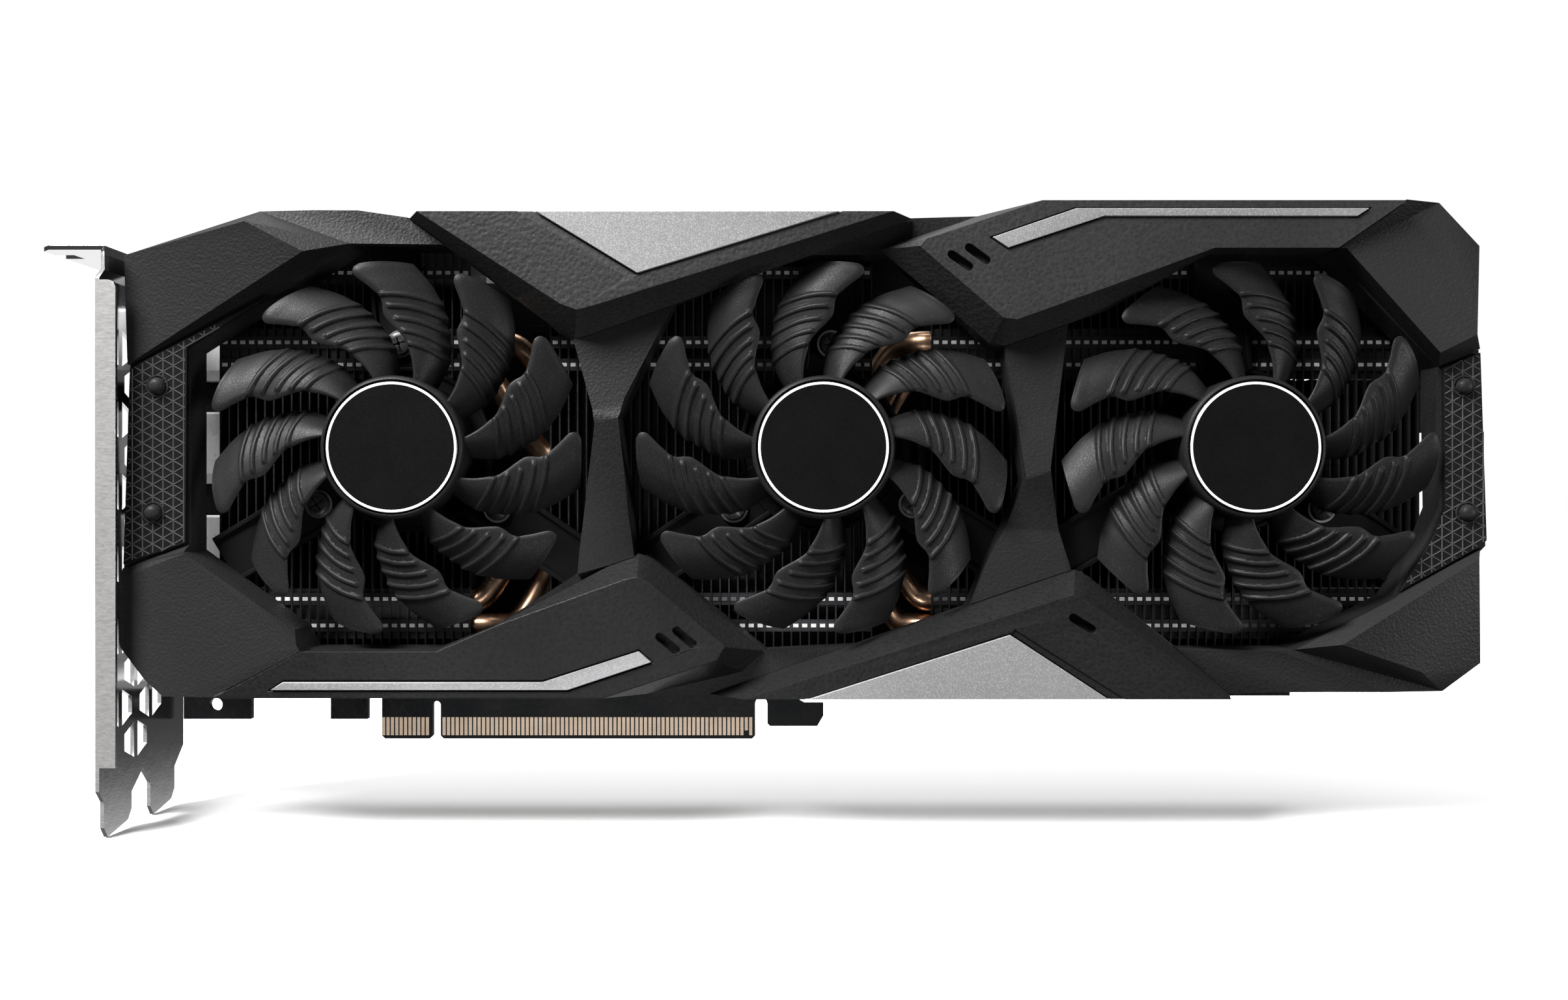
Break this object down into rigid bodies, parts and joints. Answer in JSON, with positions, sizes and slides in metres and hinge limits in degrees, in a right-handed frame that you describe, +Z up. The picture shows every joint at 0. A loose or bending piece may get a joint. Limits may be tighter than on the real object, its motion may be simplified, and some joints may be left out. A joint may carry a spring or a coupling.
{
  "type": "graphics card",
  "caption": "Wide graphics card: a row of spinning fans in an angular shroud over fins and heat pipes, with a circuit board, contact tongue, backplate and slotted bracket.",
  "frame": {"origin": "middle of the bottom edge of the long contact tongue, half way through the board's thickness", "axes": "+X from the slotted bracket to the far end, +Z up out of the slot, -Y towards the fan side, +Y out of the backplate"},
  "size_m": [0.2959, 0.0418, 0.1298],
  "materials": {
    "shroud_plastic": "fine leather-grained dark grey moulding",
    "fan_plastic": "fine speckled grey-black moulding",
    "label_film": "smooth black film, blank",
    "silver_trim": "satin silver",
    "fin_metal": "black coated sheet",
    "copper": null,
    "steel": "satin plated sheet steel",
    "board": "black solder mask over glass-fibre board",
    "dark_steel": "black satin coat",
    "socket_plastic": "black nylon"
  },
  "bodies": {
    "card": {"circuit_board": "board", "backplate": "dark_steel", "gpu_package": "socket_plastic", "cold_plate": "copper", "heat_pipe_1": "copper", "heat_pipe_2": "copper", "heat_pipe_3": "copper", "heat_pipe_4": "copper", "fin_stack_left": "fin_metal", "fin_stack_middle": "fin_metal", "fin_stack_right": "fin_metal", "io_bracket": "steel", "video_port_1": "steel", "video_port_2": "steel", "video_port_3": "steel", "video_port_4": "steel", "power_socket_6_pin": "socket_plastic", "power_socket_8_pin": "socket_plastic", "bearing_sleeve_left": "copper", "motor_stator_left": "dark_steel", "fan_carrier_left": "shroud_plastic", "fan_screw_left_1": "dark_steel", "fan_screw_left_2": "dark_steel", "fan_screw_left_3": "dark_steel", "bearing_sleeve_middle": "copper", "motor_stator_middle": "dark_steel", "fan_carrier_middle": "shroud_plastic", "fan_screw_middle_1": "dark_steel", "fan_screw_middle_2": "dark_steel", "fan_screw_middle_3": "dark_steel", "bearing_sleeve_right": "copper", "motor_stator_right": "dark_steel", "fan_carrier_right": "shroud_plastic", "fan_screw_right_1": "dark_steel", "fan_screw_right_2": "dark_steel", "fan_screw_right_3": "dark_steel", "fan_shroud": "shroud_plastic", "upper_v_cover": "shroud_plastic", "upper_arm_cover": "shroud_plastic", "lower_arm_cover": "shroud_plastic", "lower_v_cover": "shroud_plastic", "left_end_panel": "shroud_plastic", "right_end_panel": "shroud_plastic", "upper_v_trim": "silver_trim", "upper_arm_trim": "silver_trim", "lower_arm_trim": "silver_trim", "lower_v_trim": "silver_trim", "left_panel_pin_upper": "socket_plastic", "left_panel_pin_lower": "socket_plastic", "right_panel_pin_upper": "socket_plastic", "right_panel_pin_lower": "socket_plastic"},
    "fan_left": {"fan_rotor_left": "fan_plastic", "hub_label_left": "label_film", "fan_shaft_left": "steel"},
    "fan_middle": {"fan_rotor_middle": "fan_plastic", "hub_label_middle": "label_film", "fan_shaft_middle": "steel"},
    "fan_right": {"fan_rotor_right": "fan_plastic", "hub_label_right": "label_film", "fan_shaft_right": "steel"}
  },
  "joints": [
    {"name": "fan_left_spin", "type": "hinge", "parent": "card", "child": "fan_left", "pos_m": [-0.037, -0.03, 0.0652], "axis": [0, -1, 0], "continuous": true},
    {"name": "fan_middle_spin", "type": "hinge", "parent": "card", "child": "fan_middle", "pos_m": [0.0505, -0.03, 0.0652], "axis": [0, 1, 0], "continuous": true},
    {"name": "fan_right_spin", "type": "hinge", "parent": "card", "child": "fan_right", "pos_m": [0.138, -0.03, 0.0652], "axis": [0, -1, 0], "continuous": true}
  ]
}
